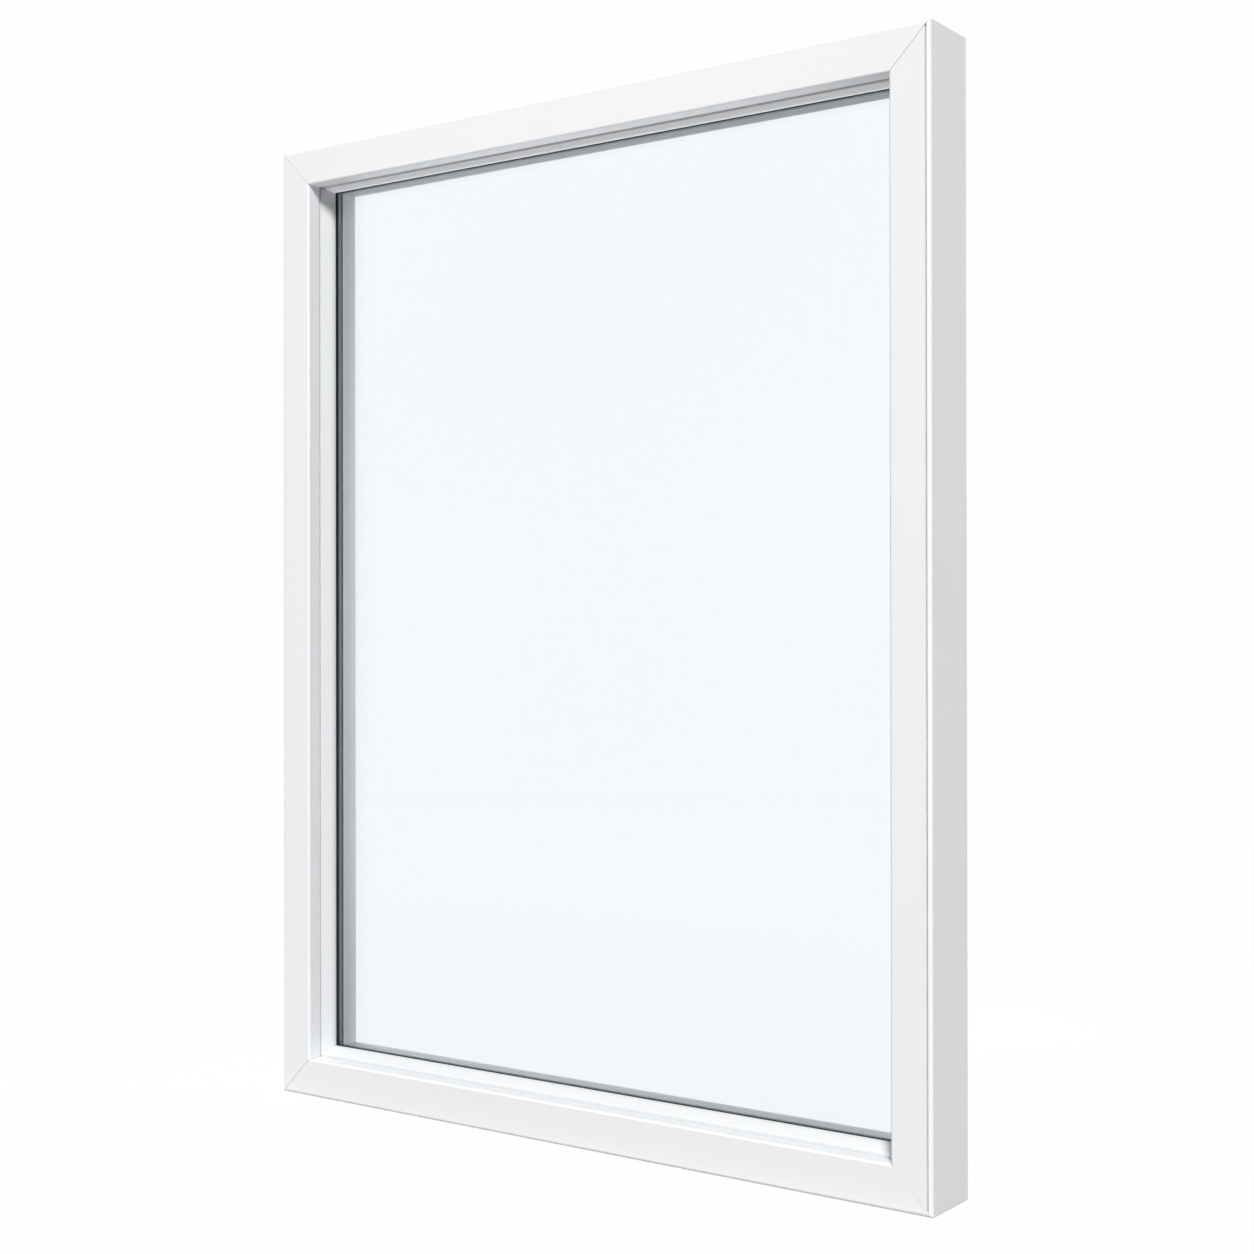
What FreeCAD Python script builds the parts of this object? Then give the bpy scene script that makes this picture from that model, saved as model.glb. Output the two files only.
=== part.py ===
import FreeCAD
import Part
import math
import os

os.makedirs("parts", exist_ok=True)

# Fixed picture window. X runs along the width, Y back from the weather face, Z up from the sill's base.
width = 980.0
height = 1280.0
depth = 88.0

# Frame members, measured inward from the outer edge.
face_width = 50.0
bead_rise = 8.0  # the beads' nose stands this far inside the weather face
lip_rise = 6.0  # and the inner lip this far
rebate_drop = 8.0  # the rebate's floor lies this far outside the weather face's inner edge
opening_lift = 4.0  # rebate, beads, glass and lip are set this much higher than the weather face's opening
outer_round = 4.5
face_round = 3.0
reveal_round = 2.0
lip_round = 1.5
back_round = 3.0
mitre_gap = 0.4

# Groove beside the rounded outer edge of the right jamb's weather face.
groove_offset = 0.2
groove_width = 2.2
groove_depth = 5.0

# Layers behind the weather face, from front to back.
reveal_depth = 22.0
bead_gap = 1.5
bead_depth = 20.5
outer_gasket = 3.5
pane = 4.0
cavity = 6.0
inner_gasket = 1.5

# Glazing beads, gaskets and the edge of the double-glazed unit.
bead_round = 2.5
bead_bend = 15.0  # the bead slopes up over this much of its depth, then bends level with its nose
bead_curve = 14.0
nose_round = 1.0
foot_taper = 5.0
bead_mitre_gap = 0.2
gasket_height = 8.0
gasket_lip = 0.4
gasket_round = 0.8
glass_clearance = 4.0
edge_seal = 4.0
spacer_height = 7.0
block_length = 100.0
block_from_edge = 150.0

# Places that follow from the sizes above.
weather_face = -depth / 2
sight = face_width + bead_rise
rebate = face_width - rebate_drop
glass_edge = rebate + glass_clearance
bead_front = reveal_depth + bead_gap
bead_back = bead_front + bead_depth
glass_front = bead_back + outer_gasket
cavity_front = glass_front + pane
cavity_back = cavity_front + cavity
glass_back = cavity_back + pane
lip_front = glass_back + inner_gasket
trim_spare = 10.0  # how far the blocks that trim the mitres reach past the pieces

members = {"head": "head", "sill": "sill", "left": "left_jamb", "right": "right_jamb"}
uprights = ("left", "right")


def lift(side):
    # How much further in the opening's lines stand on this side
    if side == "sill":
        return opening_lift
    if side == "head":
        return -opening_lift
    return 0.0


def length(side):
    return height if side in uprights else width


def place(side, inset, back, along):
    # A point of one side: inset from its outer edge, back from the weather face, along its length
    y = weather_face + back
    if side == "head":
        return FreeCAD.Vector(along - width / 2, y, height - inset)
    if side == "sill":
        return FreeCAD.Vector(along - width / 2, y, inset)
    if side == "left":
        return FreeCAD.Vector(inset - width / 2, y, along)
    return FreeCAD.Vector(width / 2 - inset, y, along)


def rounded_wire(corners):
    # Closed outline through (point, radius) corners, with a tangent arc where the radius is above zero
    edges = []
    stretches = []
    for number, (corner, radius) in enumerate(corners):
        before = (corners[number - 1][0] - corner).normalize()
        after = (corners[(number + 1) % len(corners)][0] - corner).normalize()
        half_angle = before.getAngle(after) / 2
        reach = radius / math.tan(half_angle)
        start = corner + before * reach
        finish = corner + after * reach
        if radius > 0:
            bisector = (before + after).normalize()
            middle = corner + bisector * (radius / math.sin(half_angle) - radius)
            edges.append(Part.Arc(start, middle, finish).toShape())
        stretches.append((start, finish))
    for number, stretch in enumerate(stretches):
        next_start = stretches[(number + 1) % len(stretches)][0]
        edges.append(Part.makeLine(stretch[1], next_start))
    return Part.Wire(Part.__sortEdges__(edges))


def bar(side, section):
    # Straight bar as long as its side of the window, from (inset, back, radius) corners
    corners = [(place(side, inset, back, 0), radius) for inset, back, radius in section]
    run = place(side, 0, 0, length(side)) - place(side, 0, 0, 0)
    return Part.Face(rounded_wire(corners)).extrude(run)


def mitre_line(side, neighbour):
    # Insets from two neighbouring sides where their pieces meet: 45 degrees over the face, then to the sight corner
    own_sight = sight + lift(side)
    other_sight = sight + lift(neighbour)
    return [(-trim_spare, -trim_spare), (face_width, face_width), (own_sight, other_sight),
            (own_sight + trim_spare, other_sight + trim_spare)]


def mitre_block(side, gap):
    # Block between the two mitres of one side, held back by half the gap at each
    start_side, end_side = ("sill", "head") if side in uprights else ("left", "right")
    set_back = gap / math.sqrt(2)
    outline = [place(side, own, -trim_spare, other + set_back)
               for own, other in mitre_line(side, start_side)]
    outline += [place(side, own, -trim_spare, length(side) - other - set_back)
                for own, other in reversed(mitre_line(side, end_side))]
    face = Part.Face(Part.makePolygon(outline + outline[:1]))
    return face.extrude(FreeCAD.Vector(0, depth + 2 * trim_spare, 0))


def mitred(side, section, gap):
    return bar(side, section).common(mitre_block(side, gap)).Solids[0]


def frame_section(side):
    inner = face_width + lip_rise + lift(side)
    floor = rebate + lift(side)
    groove = []
    if side == "right":
        near = outer_round + groove_offset
        far = near + groove_width
        groove = [(near, 0, 0), (near, groove_depth, 0), (far, groove_depth, 0), (far, 0, 0)]
    outside = [(0, depth, back_round), (0, 0, outer_round)]
    inside = [(face_width, 0, face_round), (face_width, reveal_depth, reveal_round),
              (floor, reveal_depth, 0), (floor, lip_front, 0), (inner, lip_front, 0),
              (inner, depth, lip_round)]
    return outside + groove + inside


def bead_section(side):
    inner = sight + lift(side)
    floor = rebate + lift(side)
    foot = bead_back - foot_taper
    return [(floor, bead_front, 0), (inner - bead_rise, bead_front, bead_round),
            (inner, bead_front + bead_bend, bead_curve), (inner, bead_back, nose_round),
            (floor + foot_taper, bead_back, 0), (floor, foot, 0)]


def outer_gasket_section(side):
    inner = sight + lift(side)
    root = inner - gasket_height
    return [(root, bead_back, 0), (inner + gasket_lip, bead_back, gasket_round),
            (inner + gasket_lip, glass_front, 0), (root, glass_front, 0)]


def inner_gasket_section(side):
    inner = face_width + lip_rise + lift(side)
    root = inner - gasket_height
    return [(root, glass_back, 0), (inner, glass_back, 0), (inner, lip_front, 0), (root, lip_front, 0)]


def spacer_section(side):
    outer = glass_edge + lift(side) + edge_seal
    inner = outer + spacer_height
    return [(outer, cavity_front, 0), (inner, cavity_front, 0), (inner, cavity_back, 0),
            (outer, cavity_back, 0)]


def glass_pane(front):
    corner = FreeCAD.Vector(glass_edge - width / 2, weather_face + front, glass_edge + opening_lift)
    return Part.makeBox(width - 2 * glass_edge, pane, height - 2 * glass_edge, corner)


def setting_block(start):
    corner = place("sill", rebate + opening_lift, glass_front, start)
    return Part.makeBox(block_length, glass_back - glass_front, glass_clearance, corner)


pieces = {}
for side, member in members.items():
    pieces["frame_" + member] = mitred(side, frame_section(side), mitre_gap)
    pieces["glazing_bead_" + side] = mitred(side, bead_section(side), bead_mitre_gap)
    pieces["outer_gasket_" + side] = mitred(side, outer_gasket_section(side), 0)
    pieces["inner_gasket_" + side] = mitred(side, inner_gasket_section(side), 0)
    pieces["spacer_bar_" + side] = mitred(side, spacer_section(side), 0)
pieces["outer_pane"] = glass_pane(glass_front)
pieces["inner_pane"] = glass_pane(cavity_back)
pieces["setting_block_left"] = setting_block(block_from_edge)
pieces["setting_block_right"] = setting_block(width - block_from_edge - block_length)

for node, shape in pieces.items():
    shape.exportStep("parts/" + node + ".step")
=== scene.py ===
import math

import bpy
from mathutils import Matrix, Vector


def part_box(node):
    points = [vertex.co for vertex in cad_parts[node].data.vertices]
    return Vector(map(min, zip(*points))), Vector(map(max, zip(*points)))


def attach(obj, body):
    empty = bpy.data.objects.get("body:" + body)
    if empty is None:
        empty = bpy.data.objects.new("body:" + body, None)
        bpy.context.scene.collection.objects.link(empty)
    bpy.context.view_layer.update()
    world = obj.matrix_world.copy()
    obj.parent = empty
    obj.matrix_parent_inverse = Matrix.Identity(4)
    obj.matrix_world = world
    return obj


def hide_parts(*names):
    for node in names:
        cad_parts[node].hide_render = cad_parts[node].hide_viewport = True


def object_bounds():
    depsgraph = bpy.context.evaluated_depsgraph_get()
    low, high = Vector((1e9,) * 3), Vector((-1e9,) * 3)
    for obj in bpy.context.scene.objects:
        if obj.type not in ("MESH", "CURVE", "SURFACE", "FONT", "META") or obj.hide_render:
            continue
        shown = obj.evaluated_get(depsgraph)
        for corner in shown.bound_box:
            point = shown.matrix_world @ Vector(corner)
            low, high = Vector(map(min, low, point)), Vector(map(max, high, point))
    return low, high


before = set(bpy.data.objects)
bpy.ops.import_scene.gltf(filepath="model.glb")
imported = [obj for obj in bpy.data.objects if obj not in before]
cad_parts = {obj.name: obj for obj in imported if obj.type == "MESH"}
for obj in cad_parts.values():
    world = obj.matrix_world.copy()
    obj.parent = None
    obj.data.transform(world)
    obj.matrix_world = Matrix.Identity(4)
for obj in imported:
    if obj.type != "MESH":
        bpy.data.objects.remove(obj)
cadLow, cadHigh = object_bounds()
scene = bpy.context.scene
scene.view_settings.view_transform = "Standard"
mm = 0.001
print("frame loaded:", len(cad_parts), "pieces")


# small helpers for node trees
def addNode(tree, kind, inputs=None, **settings):
    node = tree.nodes.new(kind)
    for name, value in settings.items():
        setattr(node, name, value)
    for socket, value in (inputs or {}).items():
        if isinstance(value, bpy.types.NodeSocket):
            tree.links.new(value, node.inputs[socket])
        else:
            node.inputs[socket].default_value = value
    return node


def mathNode(tree, operation, *values):
    return addNode(tree, "ShaderNodeMath", dict(enumerate(values)), operation=operation).outputs[0]


def newMaterial(name, **settings):
    material = bpy.data.materials.new(name)
    material.use_nodes = True
    shader = material.node_tree.nodes["Principled BSDF"]
    for socket, value in settings.items():
        shader.inputs[socket.replace("_", " ")].default_value = value
    return material, material.node_tree, shader


def stretchedNoise(tree, stretch, scale, detail=3.0):
    coordinates = addNode(tree, "ShaderNodeTexCoord").outputs["Object"]
    mapped = addNode(tree, "ShaderNodeMapping", {"Vector": coordinates, "Scale": stretch}).outputs[0]
    noise = addNode(tree, "ShaderNodeTexNoise", {"Vector": mapped, "Scale": scale, "Detail": detail})
    return noise.outputs[0]


def ramp(tree, value, low, high):
    return addNode(tree, "ShaderNodeMapRange", {"Value": value, "To Min": low, "To Max": high}).outputs[0]


def mixColours(tree, share, first, second):
    # sockets 6 and 7 take the two colours, and 2 gives the mix
    sockets = {"Factor": share, 6: (*first, 1), 7: (*second, 1)}
    return addNode(tree, "ShaderNodeMix", sockets, data_type="RGBA").outputs[2]


# satin white plastic, painted a little greyer on the beads as painted shade for the lesser light on them:
# faint drawing lines along the profile, soft mottling, a trace of orange peel
whitePlastic = {
    "light": (0.850, 0.862, 0.876),
    "dark": (0.822, 0.834, 0.848),
    # the beads' darker copy is painted shade, the same white plastic made greyer
    "beadLight": (0.760, 0.772, 0.784),
    "beadDark": (0.734, 0.745, 0.758),
    "shine": 0.15,
    "roughLow": 0.30,
    "roughHigh": 0.42,
    "lineStretch": 0.012,  # drawing lines are this much longer than wide
    "lineScale": 900.0,
    "lineDetail": 2.0,
    "lineShare": 0.4,
    "cloudScale": 5.0,
    "cloudShare": 0.6,
    "peelScale": 420.0,
    "peelDetail": 1.0,
    "lineBump": 0.00002,
    "peelBump": 0.00001,
}


def makeWhite(name, runAxis, dark, light):
    spec = whitePlastic
    material, tree, shader = newMaterial(name, Specular_IOR_Level=spec["shine"])
    stretch = [spec["lineStretch"] if axis == runAxis else 1.0 for axis in "xyz"]
    lines = stretchedNoise(tree, stretch, spec["lineScale"], spec["lineDetail"])
    clouds = stretchedNoise(tree, (1, 1, 1), spec["cloudScale"])
    peel = stretchedNoise(tree, (1, 1, 1), spec["peelScale"], spec["peelDetail"])
    mottling = mathNode(tree, "MULTIPLY", clouds, spec["cloudShare"])
    blend = mathNode(tree, "MULTIPLY_ADD", lines, spec["lineShare"], mottling)
    tree.links.new(mixColours(tree, blend, spec[dark], spec[light]), shader.inputs["Base Color"])
    tree.links.new(ramp(tree, blend, spec["roughHigh"], spec["roughLow"]), shader.inputs["Roughness"])
    lineBump = addNode(tree, "ShaderNodeBump", {"Height": lines, "Distance": spec["lineBump"]})
    peelBump = addNode(tree, "ShaderNodeBump", {"Height": peel, "Distance": spec["peelBump"],
                                                "Normal": lineBump.outputs[0]})
    tree.links.new(peelBump.outputs[0], shader.inputs["Normal"])
    return material


runs = {"upright": "z", "level": "x"}  # the axis that a bar's drawing lines follow


def makeWhites(name, dark, light):
    return {run: makeWhite(name + run.title(), axis, dark, light) for run, axis in runs.items()}


# black gasket rubber, matte with a fine grain
rubber = {
    "dark": (0.010, 0.010, 0.011),
    "light": (0.030, 0.030, 0.032),
    "shine": 0.2,
    "rough": (0.48, 0.68),
    "scale": 160.0,
    "bump": 0.00003,
}


def makeRubber():
    material, tree, shader = newMaterial("gasketRubber", Specular_IOR_Level=rubber["shine"])
    grain = stretchedNoise(tree, (1, 1, 1), rubber["scale"])
    tree.links.new(mixColours(tree, grain, rubber["dark"], rubber["light"]), shader.inputs["Base Color"])
    tree.links.new(ramp(tree, grain, *rubber["rough"]), shader.inputs["Roughness"])
    bump = addNode(tree, "ShaderNodeBump", {"Height": grain, "Distance": rubber["bump"]})
    tree.links.new(bump.outputs[0], shader.inputs["Normal"])
    return material


# grey spacer bar between the panes, and the painted shade of its drying holes: near-black discs in place of
# the dark inside them
spacerBar = {
    "dark": (0.500, 0.526, 0.540),
    "light": (0.590, 0.616, 0.632),
    # near-black colour of the hole discs: painted shade standing in for the hollow inside each hole
    "holeDark": (0.006, 0.006, 0.006),
    "holeLight": (0.016, 0.016, 0.016),
    "rough": (0.40, 0.55),
    "scale": 90.0,
}


def makeSpacer(name, dark, light):
    material, tree, shader = newMaterial(name)
    grain = stretchedNoise(tree, (1, 1, 1), spacerBar["scale"])
    tree.links.new(mixColours(tree, grain, spacerBar[dark], spacerBar[light]), shader.inputs["Base Color"])
    tree.links.new(ramp(tree, grain, *spacerBar["rough"]), shader.inputs["Roughness"])
    return material


# clear float glass with a faint cool tint
floatGlass = {
    "tint": (0.943, 0.976, 0.994),
    "tintFar": (0.953, 0.980, 0.995),
    "bending": 1.52,
    "scale": 1.4,
    "detail": 1.0,
}


def makeGlass():
    material, tree, shader = newMaterial("floatGlass", Roughness=0.0, IOR=floatGlass["bending"],
                                         Transmission_Weight=1.0)
    drift = stretchedNoise(tree, (1, 1, 1), floatGlass["scale"], floatGlass["detail"])
    tint = mixColours(tree, drift, floatGlass["tint"], floatGlass["tintFar"])
    tree.links.new(tint, shader.inputs["Base Color"])
    return material


whites = makeWhites("whitePlastic", "dark", "light")
# the beads take the darker copy of the white plastic: painted shade
beadShadedWhites = makeWhites("beadPlastic", "beadDark", "beadLight")
gasketRubber = makeRubber()
spacerCoating = makeSpacer("spacerCoating", "dark", "light")
# finish for the hole discs: painted shade, not an open hole
holeDark = makeSpacer("spacerHolePaintedShade", "holeDark", "holeLight")
glass = makeGlass()

# these nodes keep their own meshes and take a finish
keptNodes = {"pane": glass, "inner_gasket": gasketRubber, "block": gasketRubber, "spacer": spacerCoating}
for nodeName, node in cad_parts.items():
    for word, finish in keptNodes.items():
        if word in nodeName:
            node.data.materials.clear()
            node.data.materials.append(finish)
print("finishes made:", len(bpy.data.materials))


# Geometry Nodes: a tree with named inputs, and the plain mesh that it grows into
def newTree(name, inputs):
    tree = bpy.data.node_groups.new(name, "GeometryNodeTree")
    for label, kind in inputs.items():
        tree.interface.new_socket(label, in_out="INPUT", socket_type="NodeSocket" + kind)
    tree.interface.new_socket("Geometry", in_out="OUTPUT", socket_type="NodeSocketGeometry")
    return tree, addNode(tree, "NodeGroupInput").outputs


def closeTree(tree, geometry, finish):
    whole = addNode(tree, "GeometryNodeRealizeInstances", {0: geometry}).outputs[0]
    painted = addNode(tree, "GeometryNodeSetMaterial", {"Geometry": whole, "Material": finish}).outputs[0]
    addNode(tree, "NodeGroupOutput", {0: painted})


def plainMesh(carrier, name):
    mesh = bpy.data.meshes.new_from_object(carrier.evaluated_get(bpy.context.evaluated_depsgraph_get()))
    mesh.name = name
    return mesh


def grow(tree, name, **values):
    carrier = bpy.data.objects.new(name + ".carrier", bpy.data.meshes.new(name + ".carrier"))
    scene.collection.objects.link(carrier)
    modifier = carrier.modifiers.new("grow", "NODES")
    modifier.node_group = tree
    for item in tree.interface.items_tree:
        if item.in_out == "INPUT":
            modifier[item.identifier] = values[item.name.replace(" ", "")]
    mesh = plainMesh(carrier, name)
    bpy.data.objects.remove(carrier)
    return mesh


# edges softened as a cutter leaves them, flats kept flat
edges = {"width": 0.25 * mm, "steps": 2, "sharperThan": 40.0}


def soften(mesh, name):
    mesh.shade_smooth()
    carrier = bpy.data.objects.new(name + ".carrier", mesh)
    scene.collection.objects.link(carrier)
    bevel = carrier.modifiers.new("edges", "BEVEL")
    bevel.width = edges["width"]
    bevel.segments = edges["steps"]
    bevel.limit_method = "ANGLE"
    bevel.angle_limit = math.radians(edges["sharperThan"])
    bevel.use_clamp_overlap = False
    carrier.modifiers.new("flats", "WEIGHTED_NORMAL")
    softened = plainMesh(carrier, name)
    bpy.data.objects.remove(carrier)
    return softened


def addPiece(name, mesh, slot, *nodes):
    piece = bpy.data.objects.new(name, mesh)
    scene.collection.objects.link(piece)
    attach(piece, "root")
    if nodes:
        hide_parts(*nodes)


# the four sides in turn: the corner each rail starts from, its turn about the depth, the sides it meets
sides = {
    "left": {"member": "left_jamb", "corner": (cadLow.x, cadLow.y, cadLow.z), "turn": 0,
             "meets": ("sill", "head")},
    "head": {"member": "head", "corner": (cadLow.x, cadLow.y, cadHigh.z), "turn": 90,
             "meets": ("left", "right")},
    "right": {"member": "right_jamb", "corner": (cadHigh.x, cadLow.y, cadHigh.z), "turn": 180,
              "meets": ("head", "sill")},
    "sill": {"member": "sill", "corner": (cadHigh.x, cadLow.y, cadLow.z), "turn": 270,
             "meets": ("right", "left")},
}


def upright(side):
    return side in ("left", "right")


def runLength(side):
    return cadHigh.z - cadLow.z if upright(side) else cadHigh.x - cadLow.x


def standing(side):
    turn = Matrix.Rotation(math.radians(sides[side]["turn"]), 4, "Y")
    return Matrix.Translation(sides[side]["corner"]) @ turn


def reach(nodeName, side):
    # outer inset, inner inset, front and back of a node, from the outer edge and the weather face
    low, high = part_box(nodeName)
    insets = {
        "left": (low.x - cadLow.x, high.x - cadLow.x),
        "right": (cadHigh.x - high.x, cadHigh.x - low.x),
        "sill": (low.z - cadLow.z, high.z - cadLow.z),
        "head": (cadHigh.z - high.z, cadHigh.z - low.z),
    }
    return *insets[side], low.y - cadLow.y, high.y - cadLow.y


weld = 0.01 * mm  # points closer than this become one


# rail grown from a section: rounded, filled, run out along its length, both ends mitred
def makeRailTree():
    tree, given = newTree("mitredRail", {
        "Section": "Object", "Length": "Float", "Face Width": "Float", "Start Bend": "Float",
        "End Bend": "Float", "End Gap": "Float", "Round Steps": "Int", "Finish": "Material"})
    outline = addNode(tree, "GeometryNodeObjectInfo", {"Object": given["Section"]}).outputs["Geometry"]
    radius = addNode(tree, "GeometryNodeInputRadius").outputs[0]
    rounded = addNode(tree, "GeometryNodeFilletCurve", {
        "Curve": outline, "Count": given["Round Steps"], "Radius": radius}, mode="POLY").outputs[0]
    foot = addNode(tree, "GeometryNodeFillCurve", {"Curve": rounded}, mode="NGONS").outputs[0]
    run = addNode(tree, "ShaderNodeCombineXYZ", {"Z": given["Length"]}).outputs[0]
    bar = addNode(tree, "GeometryNodeExtrudeMesh", {
        "Mesh": foot, "Offset": run, "Individual": False}).outputs[0]
    both = addNode(tree, "GeometryNodeJoinGeometry", {0: bar})
    otherEnd = addNode(tree, "GeometryNodeFlipFaces", {0: foot}).outputs[0]
    tree.links.new(otherEnd, both.inputs[0])
    closed = addNode(tree, "GeometryNodeMergeByDistance", {0: both.outputs[0], "Distance": weld}).outputs[0]
    position = addNode(tree, "GeometryNodeInputPosition").outputs[0]
    point = addNode(tree, "ShaderNodeSeparateXYZ", {0: position}).outputs
    # each end is cut back at 45 degrees and by half the gap, and past the face by the bend as well
    beyond = mathNode(tree, "MAXIMUM", mathNode(tree, "SUBTRACT", point["X"], given["Face Width"]), 0.0)
    square = mathNode(tree, "MULTIPLY_ADD", given["End Gap"], math.sqrt(0.5), point["X"])
    startCut = mathNode(tree, "MULTIPLY_ADD", beyond, given["Start Bend"], square)
    endCut = mathNode(tree, "MULTIPLY_ADD", beyond, given["End Bend"], square)
    atEnd = mathNode(tree, "GREATER_THAN", point["Z"], mathNode(tree, "MULTIPLY", given["Length"], 0.5))
    back = mathNode(tree, "MULTIPLY", atEnd, mathNode(tree, "ADD", startCut, endCut))
    shift = mathNode(tree, "SUBTRACT", startCut, back)
    offset = addNode(tree, "ShaderNodeCombineXYZ", {"Z": shift}).outputs[0]
    mitred = addNode(tree, "GeometryNodeSetPosition", {"Geometry": closed, "Offset": offset}).outputs[0]
    closeTree(tree, mitred, given["Finish"])
    return tree


railTree = makeRailTree()


def withCrossings(corners, face):
    # a plain corner wherever the outline crosses the line at which the mitres bend
    outline = []
    for corner, following in zip(corners, corners[1:] + corners[:1]):
        outline.append(corner)
        if (corner[0] - face) * (following[0] - face) < 0:
            share = (face - corner[0]) / (following[0] - corner[0])
            outline.append((face, corner[1] + share * (following[1] - corner[1]), 0))
    return outline


def sectionCurve(name, corners):
    curve = bpy.data.curves.new(name, "CURVE")
    spline = curve.splines.new("POLY")
    spline.points.add(len(corners) - 1)
    spline.use_cyclic_u = True
    for point, (inset, back, radius) in zip(spline.points, corners):
        point.co = (inset, back, 0, 1)
        point.radius = radius
    outline = bpy.data.objects.new(name, curve)
    scene.collection.objects.link(outline)
    return outline


def sight(side):
    return reach("glazing_bead_" + side, side)[1]


def bend(side, other):
    # past the face the mitre runs to where the two beads' noses meet
    face = frameBar["face"] * mm
    return (sight(other) - face) / (sight(side) - face) - 1


def addRail(name, side, corners, gap, steps, finish, slot, node):
    face = frameBar["face"] * mm
    outline = sectionCurve(name + ".section", withCrossings(corners, face))
    start, end = sides[side]["meets"]
    mesh = grow(railTree, name, Section=outline, Length=runLength(side), FaceWidth=face,
                StartBend=bend(side, start), EndBend=bend(side, end), EndGap=gap, RoundSteps=steps,
                Finish=finish)
    bpy.data.objects.remove(outline)
    mesh.transform(standing(side))
    addPiece(name, soften(mesh, name), slot, node)


# frame bar, in millimetres: rounded outside, reveal, rebate and inner lip; a groove along one jamb
frameBar = {"face": 50.0, "outerRound": 4.5, "faceRound": 3.0, "revealDepth": 22.0, "revealRound": 2.0,
            "lipRound": 1.5, "backRound": 3.0, "mitreGap": 0.4, "roundSteps": 8,
            "grooveSide": "right", "grooveFrom": 4.7, "grooveTo": 6.9, "grooveDepth": 5.0}


def frameSection(side):
    face, reveal = frameBar["face"] * mm, frameBar["revealDepth"] * mm
    floor = reach("glazing_bead_" + side, side)[0]
    lip, front, back = reach("frame_" + sides[side]["member"], side)[1:]
    stop = reach("inner_gasket_" + side, side)[3]
    groove = []
    if side == frameBar["grooveSide"]:
        near, far, deep = [frameBar["groove" + part] * mm for part in ("From", "To", "Depth")]
        groove = [(near, front, 0), (near, deep, 0), (far, deep, 0), (far, front, 0)]
    return [(0, back, frameBar["backRound"] * mm), (0, front, frameBar["outerRound"] * mm), *groove,
            (face, front, frameBar["faceRound"] * mm), (face, reveal, frameBar["revealRound"] * mm),
            (floor, reveal, 0), (floor, stop, 0), (lip, stop, 0), (lip, back, frameBar["lipRound"] * mm)]


# glazing bead, in millimetres: a rounded front edge, then a slope that bends level to the nose
glazingBead = {"rise": 8.0, "frontRound": 2.5, "bend": 15.0, "curve": 14.0, "noseRound": 1.0,
               "footTaper": 5.0, "mitreGap": 0.2, "roundSteps": 12}


def beadSection(side):
    taper = glazingBead["footTaper"] * mm
    floor, nose, front, back = reach("glazing_bead_" + side, side)
    return [(floor, front, 0), (nose - glazingBead["rise"] * mm, front, glazingBead["frontRound"] * mm),
            (nose, front + glazingBead["bend"] * mm, glazingBead["curve"] * mm),
            (nose, back, glazingBead["noseRound"] * mm), (floor + taper, back, 0), (floor, back - taper, 0)]


# gasket between bead and glass, in millimetres
beadGasket = {"round": 0.8, "roundSteps": 6}


def gasketSection(side):
    root, lip, front, back = reach("outer_gasket_" + side, side)
    return [(root, front, 0), (lip, front, beadGasket["round"] * mm), (lip, back, 0), (root, back, 0)]


for side, spec in sides.items():
    run = "upright" if upright(side) else "level"
    addRail(spec["member"] + "Bar", side, frameSection(side), frameBar["mitreGap"] * mm,
            frameBar["roundSteps"], whites[run], "frame_white", "frame_" + spec["member"])
    addRail(side + "Bead", side, beadSection(side), glazingBead["mitreGap"] * mm,
            glazingBead["roundSteps"], beadShadedWhites[run], "bead_white", "glazing_bead_" + side)
    addRail(side + "BeadGasket", side, gasketSection(side), 0.0,
            beadGasket["roundSteps"], gasketRubber, "gasket_black", "outer_gasket_" + side)
print("rails grown:", 3 * len(sides))


# drying holes in two rows along each spacer bar's inner face, in millimetres; each is a flat disc of painted
# shade just proud of the face
spacerHoles = {"pitch": 4.0, "rowGap": 2.4, "radius": 0.45, "endMargin": 12.0, "proud": 0.02, "corners": 8}


def makeHoleTree():
    tree, given = newTree("spacerHoles", {
        "Length": "Float", "Pitch": "Float", "Row Gap": "Float", "Hole Radius": "Float",
        "Hole Corners": "Int", "Finish": "Material"})
    count = mathNode(tree, "FLOOR", mathNode(tree, "DIVIDE", given["Length"], given["Pitch"]))
    step = addNode(tree, "ShaderNodeCombineXYZ", {"Z": given["Pitch"]}).outputs[0]
    rows = addNode(tree, "GeometryNodeJoinGeometry")
    for share in (-0.5, 0.5):
        aside = mathNode(tree, "MULTIPLY", given["Row Gap"], share)
        start = addNode(tree, "ShaderNodeCombineXYZ", {"Y": aside}).outputs[0]
        row = addNode(tree, "GeometryNodeMeshLine", {"Count": count, "Start Location": start, "Offset": step})
        tree.links.new(row.outputs[0], rows.inputs[0])
    hole = addNode(tree, "GeometryNodeMeshCircle", {
        "Vertices": given["Hole Corners"], "Radius": given["Hole Radius"]}, fill_type="NGON").outputs[0]
    holes = addNode(tree, "GeometryNodeInstanceOnPoints", {
        "Points": rows.outputs[0], "Instance": hole, "Rotation": (0, math.pi / 2, 0)}).outputs[0]
    closeTree(tree, holes, given["Finish"])
    return tree


holeTree = makeHoleTree()
for side in sides:
    inner, front, back = reach("spacer_bar_" + side, side)[1:]
    margin = spacerHoles["endMargin"] * mm
    start, end = [reach("spacer_bar_" + other, other)[1] + margin for other in sides[side]["meets"]]
    mesh = grow(holeTree, side + "SpacerHoles", Length=runLength(side) - start - end,
                Pitch=spacerHoles["pitch"] * mm, RowGap=spacerHoles["rowGap"] * mm,
                HoleRadius=spacerHoles["radius"] * mm, HoleCorners=spacerHoles["corners"], Finish=holeDark)
    rowStart = (inner + spacerHoles["proud"] * mm, (front + back) / 2, start)
    mesh.transform(standing(side) @ Matrix.Translation(rowStart))
    addPiece(side + "SpacerHoles", mesh, "spacer_grey")
print("spacer holes made")


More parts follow.
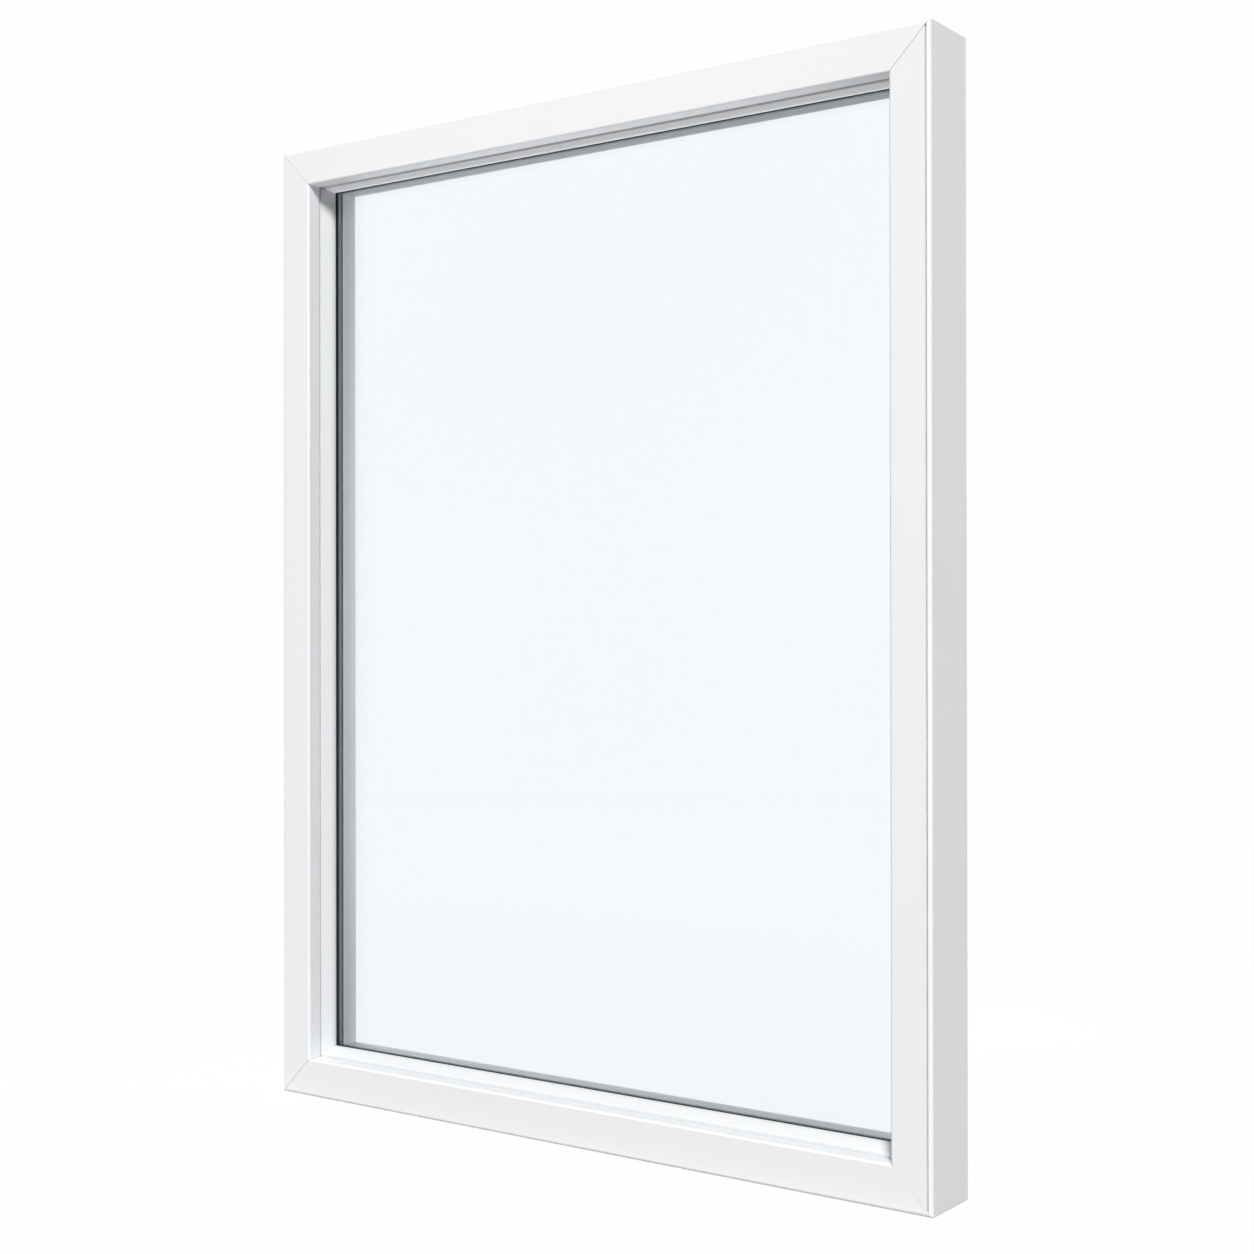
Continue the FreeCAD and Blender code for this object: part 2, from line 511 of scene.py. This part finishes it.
# pale floor and white surround: seen straight, mirrored or through the glass they are white
studio = {
    "back": 0.30,  # light from behind, from the left and from above
    "left": 0.5,
    "top": 0.15,
    "white": 0.99,
    "dimBehind": 0.85,  # bounced light finds this much less white behind the window
    "floorSize": 60.0,
    "floorColour": 0.90,
    "floorRough": 0.9,
    "floorBounce": 0.30,  # the floor's colour for the light that it throws back
    "footBounce": 0.46,  # the same in a narrow strip before the sill
    "footLine": 0.050,  # the strip's middle, before the window's mid-depth
    "footEdges": (0.005, 0.011),  # full up to the first, gone at the second
    "floorWhite": 0.96,  # near the window some of the floor's own shade stays
    "floorFade": (1.2, 5.0),
}


def whiteRays(tree, depth):
    path = addNode(tree, "ShaderNodeLightPath").outputs
    seen = mathNode(tree, "MAXIMUM", path["Is Camera Ray"], path["Is Glossy Ray"])
    seen = mathNode(tree, "MAXIMUM", seen, path["Is Transmission Ray"])
    behind = mathNode(tree, "MULTIPLY", mathNode(tree, "GREATER_THAN", depth, 0.0), studio["dimBehind"])
    bounced = mathNode(tree, "MINIMUM", path["Diffuse Depth"], 1.0)
    kept = mathNode(tree, "SUBTRACT", 1.0, mathNode(tree, "MULTIPLY", behind, bounced))
    return mathNode(tree, "MULTIPLY", seen, kept)


def makeSurround():
    world = bpy.data.worlds.new("studio")
    scene.world = world
    world.use_nodes = True
    tree = world.node_tree
    background = tree.nodes["Background"]
    background.inputs["Color"].default_value = (1, 1, 1, 1)
    direction = addNode(tree, "ShaderNodeTexCoord").outputs["Generated"]
    aim = addNode(tree, "ShaderNodeSeparateXYZ", {0: direction}).outputs
    level = 0.0
    for axis, sign, name in (("X", -1, "left"), ("Y", 1, "back"), ("Z", 1, "top")):
        facing = mathNode(tree, "MAXIMUM", mathNode(tree, "MULTIPLY", aim[axis], sign), 0.0)
        level = mathNode(tree, "MULTIPLY_ADD", facing, studio[name], level)
    seen = whiteRays(tree, aim["Y"])
    strength = addNode(tree, "ShaderNodeMix", {"Factor": seen, "A": level, "B": studio["white"]})
    tree.links.new(strength.outputs[0], background.inputs["Strength"])


def makeFloor():
    half = studio["floorSize"] / 2
    corners = [(x, y, cadLow.z) for x, y in ((-half, -half), (half, -half), (half, half), (-half, half))]
    mesh = bpy.data.meshes.new("floor")
    mesh.from_pydata(corners, [], [(0, 1, 2, 3)])
    floor = bpy.data.objects.new("floor", mesh)
    scene.collection.objects.link(floor)
    material, tree, shader = newMaterial("paleFloor", Roughness=studio["floorRough"])
    place = addNode(tree, "ShaderNodeTexCoord").outputs["Object"]
    depth = addNode(tree, "ShaderNodeSeparateXYZ", {0: place}).outputs["Y"]
    edge, clear = studio["footEdges"]
    aside = mathNode(tree, "ABSOLUTE", mathNode(tree, "ADD", depth, studio["footLine"]))
    bounce = addNode(tree, "ShaderNodeMapRange", {
        "Value": aside, "From Min": edge, "From Max": clear,
        "To Min": studio["footBounce"], "To Max": studio["floorBounce"]}).outputs[0]
    bounced = addNode(tree, "ShaderNodeLightPath").outputs["Is Diffuse Ray"]
    colour = addNode(tree, "ShaderNodeMix", {
        "Factor": bounced, "A": studio["floorColour"], "B": bounce}).outputs[0]
    tree.links.new(colour, shader.inputs["Base Color"])
    glow = addNode(tree, "ShaderNodeEmission", {"Strength": studio["white"]})
    away = addNode(tree, "ShaderNodeVectorMath", {0: place}, operation="LENGTH").outputs["Value"]
    near, far = studio["floorFade"]
    white = addNode(tree, "ShaderNodeMapRange", {
        "Value": away, "From Min": near, "From Max": far, "To Min": studio["floorWhite"]}).outputs[0]
    share = mathNode(tree, "MULTIPLY", whiteRays(tree, depth), white)
    mixed = addNode(tree, "ShaderNodeMixShader", {0: share, 1: shader.outputs[0], 2: glow.outputs[0]})
    tree.links.new(mixed.outputs[0], tree.nodes["Material Output"].inputs["Surface"])
    mesh.materials.append(material)


# lamps: a soft box far to the front right, a strip overhead, one behind for the inner lip, one for the left
# side, and three that reach the head alone: its bar from below, its bead through the glass and from the front
lamps = {
    "key": {"place": (19.3, -26.2, 27.2), "aim": (0.0, 0.0, 0.64), "shape": "DISK", "size": (11.0, 11.0),
            "watts": 20500.0},
    "above": {"place": (0.0, -2.6, 9.2), "aim": (0.0, 0.0, 0.64), "shape": "RECTANGLE", "size": (4.0, 1.4),
              "watts": 60.0},
    "behind": {"place": (0.25, 1.1, 0.61), "aim": (-0.43, 0.03, 0.59), "shape": "RECTANGLE",
               "size": (0.3, 1.16), "watts": 2.5, "spread": 70.0},
    "rear": {"place": (-14.0, 6.0, 7.0), "aim": (0.0, 0.0, 0.64), "shape": "DISK", "size": (6.0, 6.0),
             "watts": 1100.0},
    "low": {"place": (0.0, -0.16, 0.04), "aim": (0.0, -0.04, 1.25), "shape": "RECTANGLE",
            "size": (0.80, 0.10), "watts": 0.30, "spread": 25.0, "lights": ("headBar",)},
    "through": {"place": (0.0, 1.30, 0.62), "aim": (0.0, 0.0, 1.23), "shape": "RECTANGLE",
                "size": (1.20, 0.20), "watts": 38.0, "lights": ("headBead",),
                "shadows": ("headBar", "headBead")},
    "brow": {"place": (0.0, -1.90, 1.15), "aim": (0.0, 0.0, 1.23), "shape": "RECTANGLE",
             "size": (1.60, 0.10), "watts": 25.0, "lights": ("headBead",)},
}
wideSpread = 180.0


def pieceGroup(name, pieces):
    chosen = bpy.data.collections.new(name)
    for piece in pieces:
        chosen.objects.link(bpy.data.objects[piece])
    return chosen


def makeLamp(name):
    spec = lamps[name]
    lamp = bpy.data.lights.new(name + "Light", "AREA")
    lamp.shape = spec["shape"]
    lamp.size, lamp.size_y = spec["size"]
    lamp.energy = spec["watts"]
    lamp.spread = math.radians(spec.get("spread", wideSpread))
    stand = bpy.data.objects.new(name + "Light", lamp)
    stand.location = spec["place"]
    stand.rotation_mode = "QUATERNION"
    stand.rotation_quaternion = (Vector(spec["place"]) - Vector(spec["aim"])).to_track_quat("Z", "Y")
    for ray in ("camera", "glossy", "transmission"):
        setattr(stand, "visible_" + ray, False)
    scene.collection.objects.link(stand)
    if "lights" in spec:
        stand.light_linking.receiver_collection = pieceGroup(name + "Lights", spec["lights"])
    if "shadows" in spec:
        stand.light_linking.blocker_collection = pieceGroup(name + "Shadows", spec["shadows"])


# camera at mid-height, off to the right of the window
viewCamera = {
    "place": (1.4227, -1.8849, 0.6241),
    "aside": 35.9,
    "tilt": 0.18,
    "roll": -0.08,
    "lens": 54.94,
    "sensor": 36.0,
    "farthest": 200.0,
}


def makeCamera():
    data = bpy.data.cameras.new("viewCamera")
    data.sensor_width = viewCamera["sensor"]
    data.lens = viewCamera["lens"]
    data.clip_end = viewCamera["farthest"]
    camera = bpy.data.objects.new("viewCamera", data)
    aside = Matrix.Rotation(math.radians(viewCamera["aside"]), 4, "Z")
    tilt = Matrix.Rotation(math.radians(90 + viewCamera["tilt"]), 4, "X")
    roll = Matrix.Rotation(math.radians(viewCamera["roll"]), 4, "Z")
    camera.matrix_world = Matrix.Translation(viewCamera["place"]) @ aside @ tilt @ roll
    scene.collection.objects.link(camera)
    scene.camera = camera


makeSurround()
makeFloor()
for lampName in lamps:
    makeLamp(lampName)
makeCamera()
print("studio set")
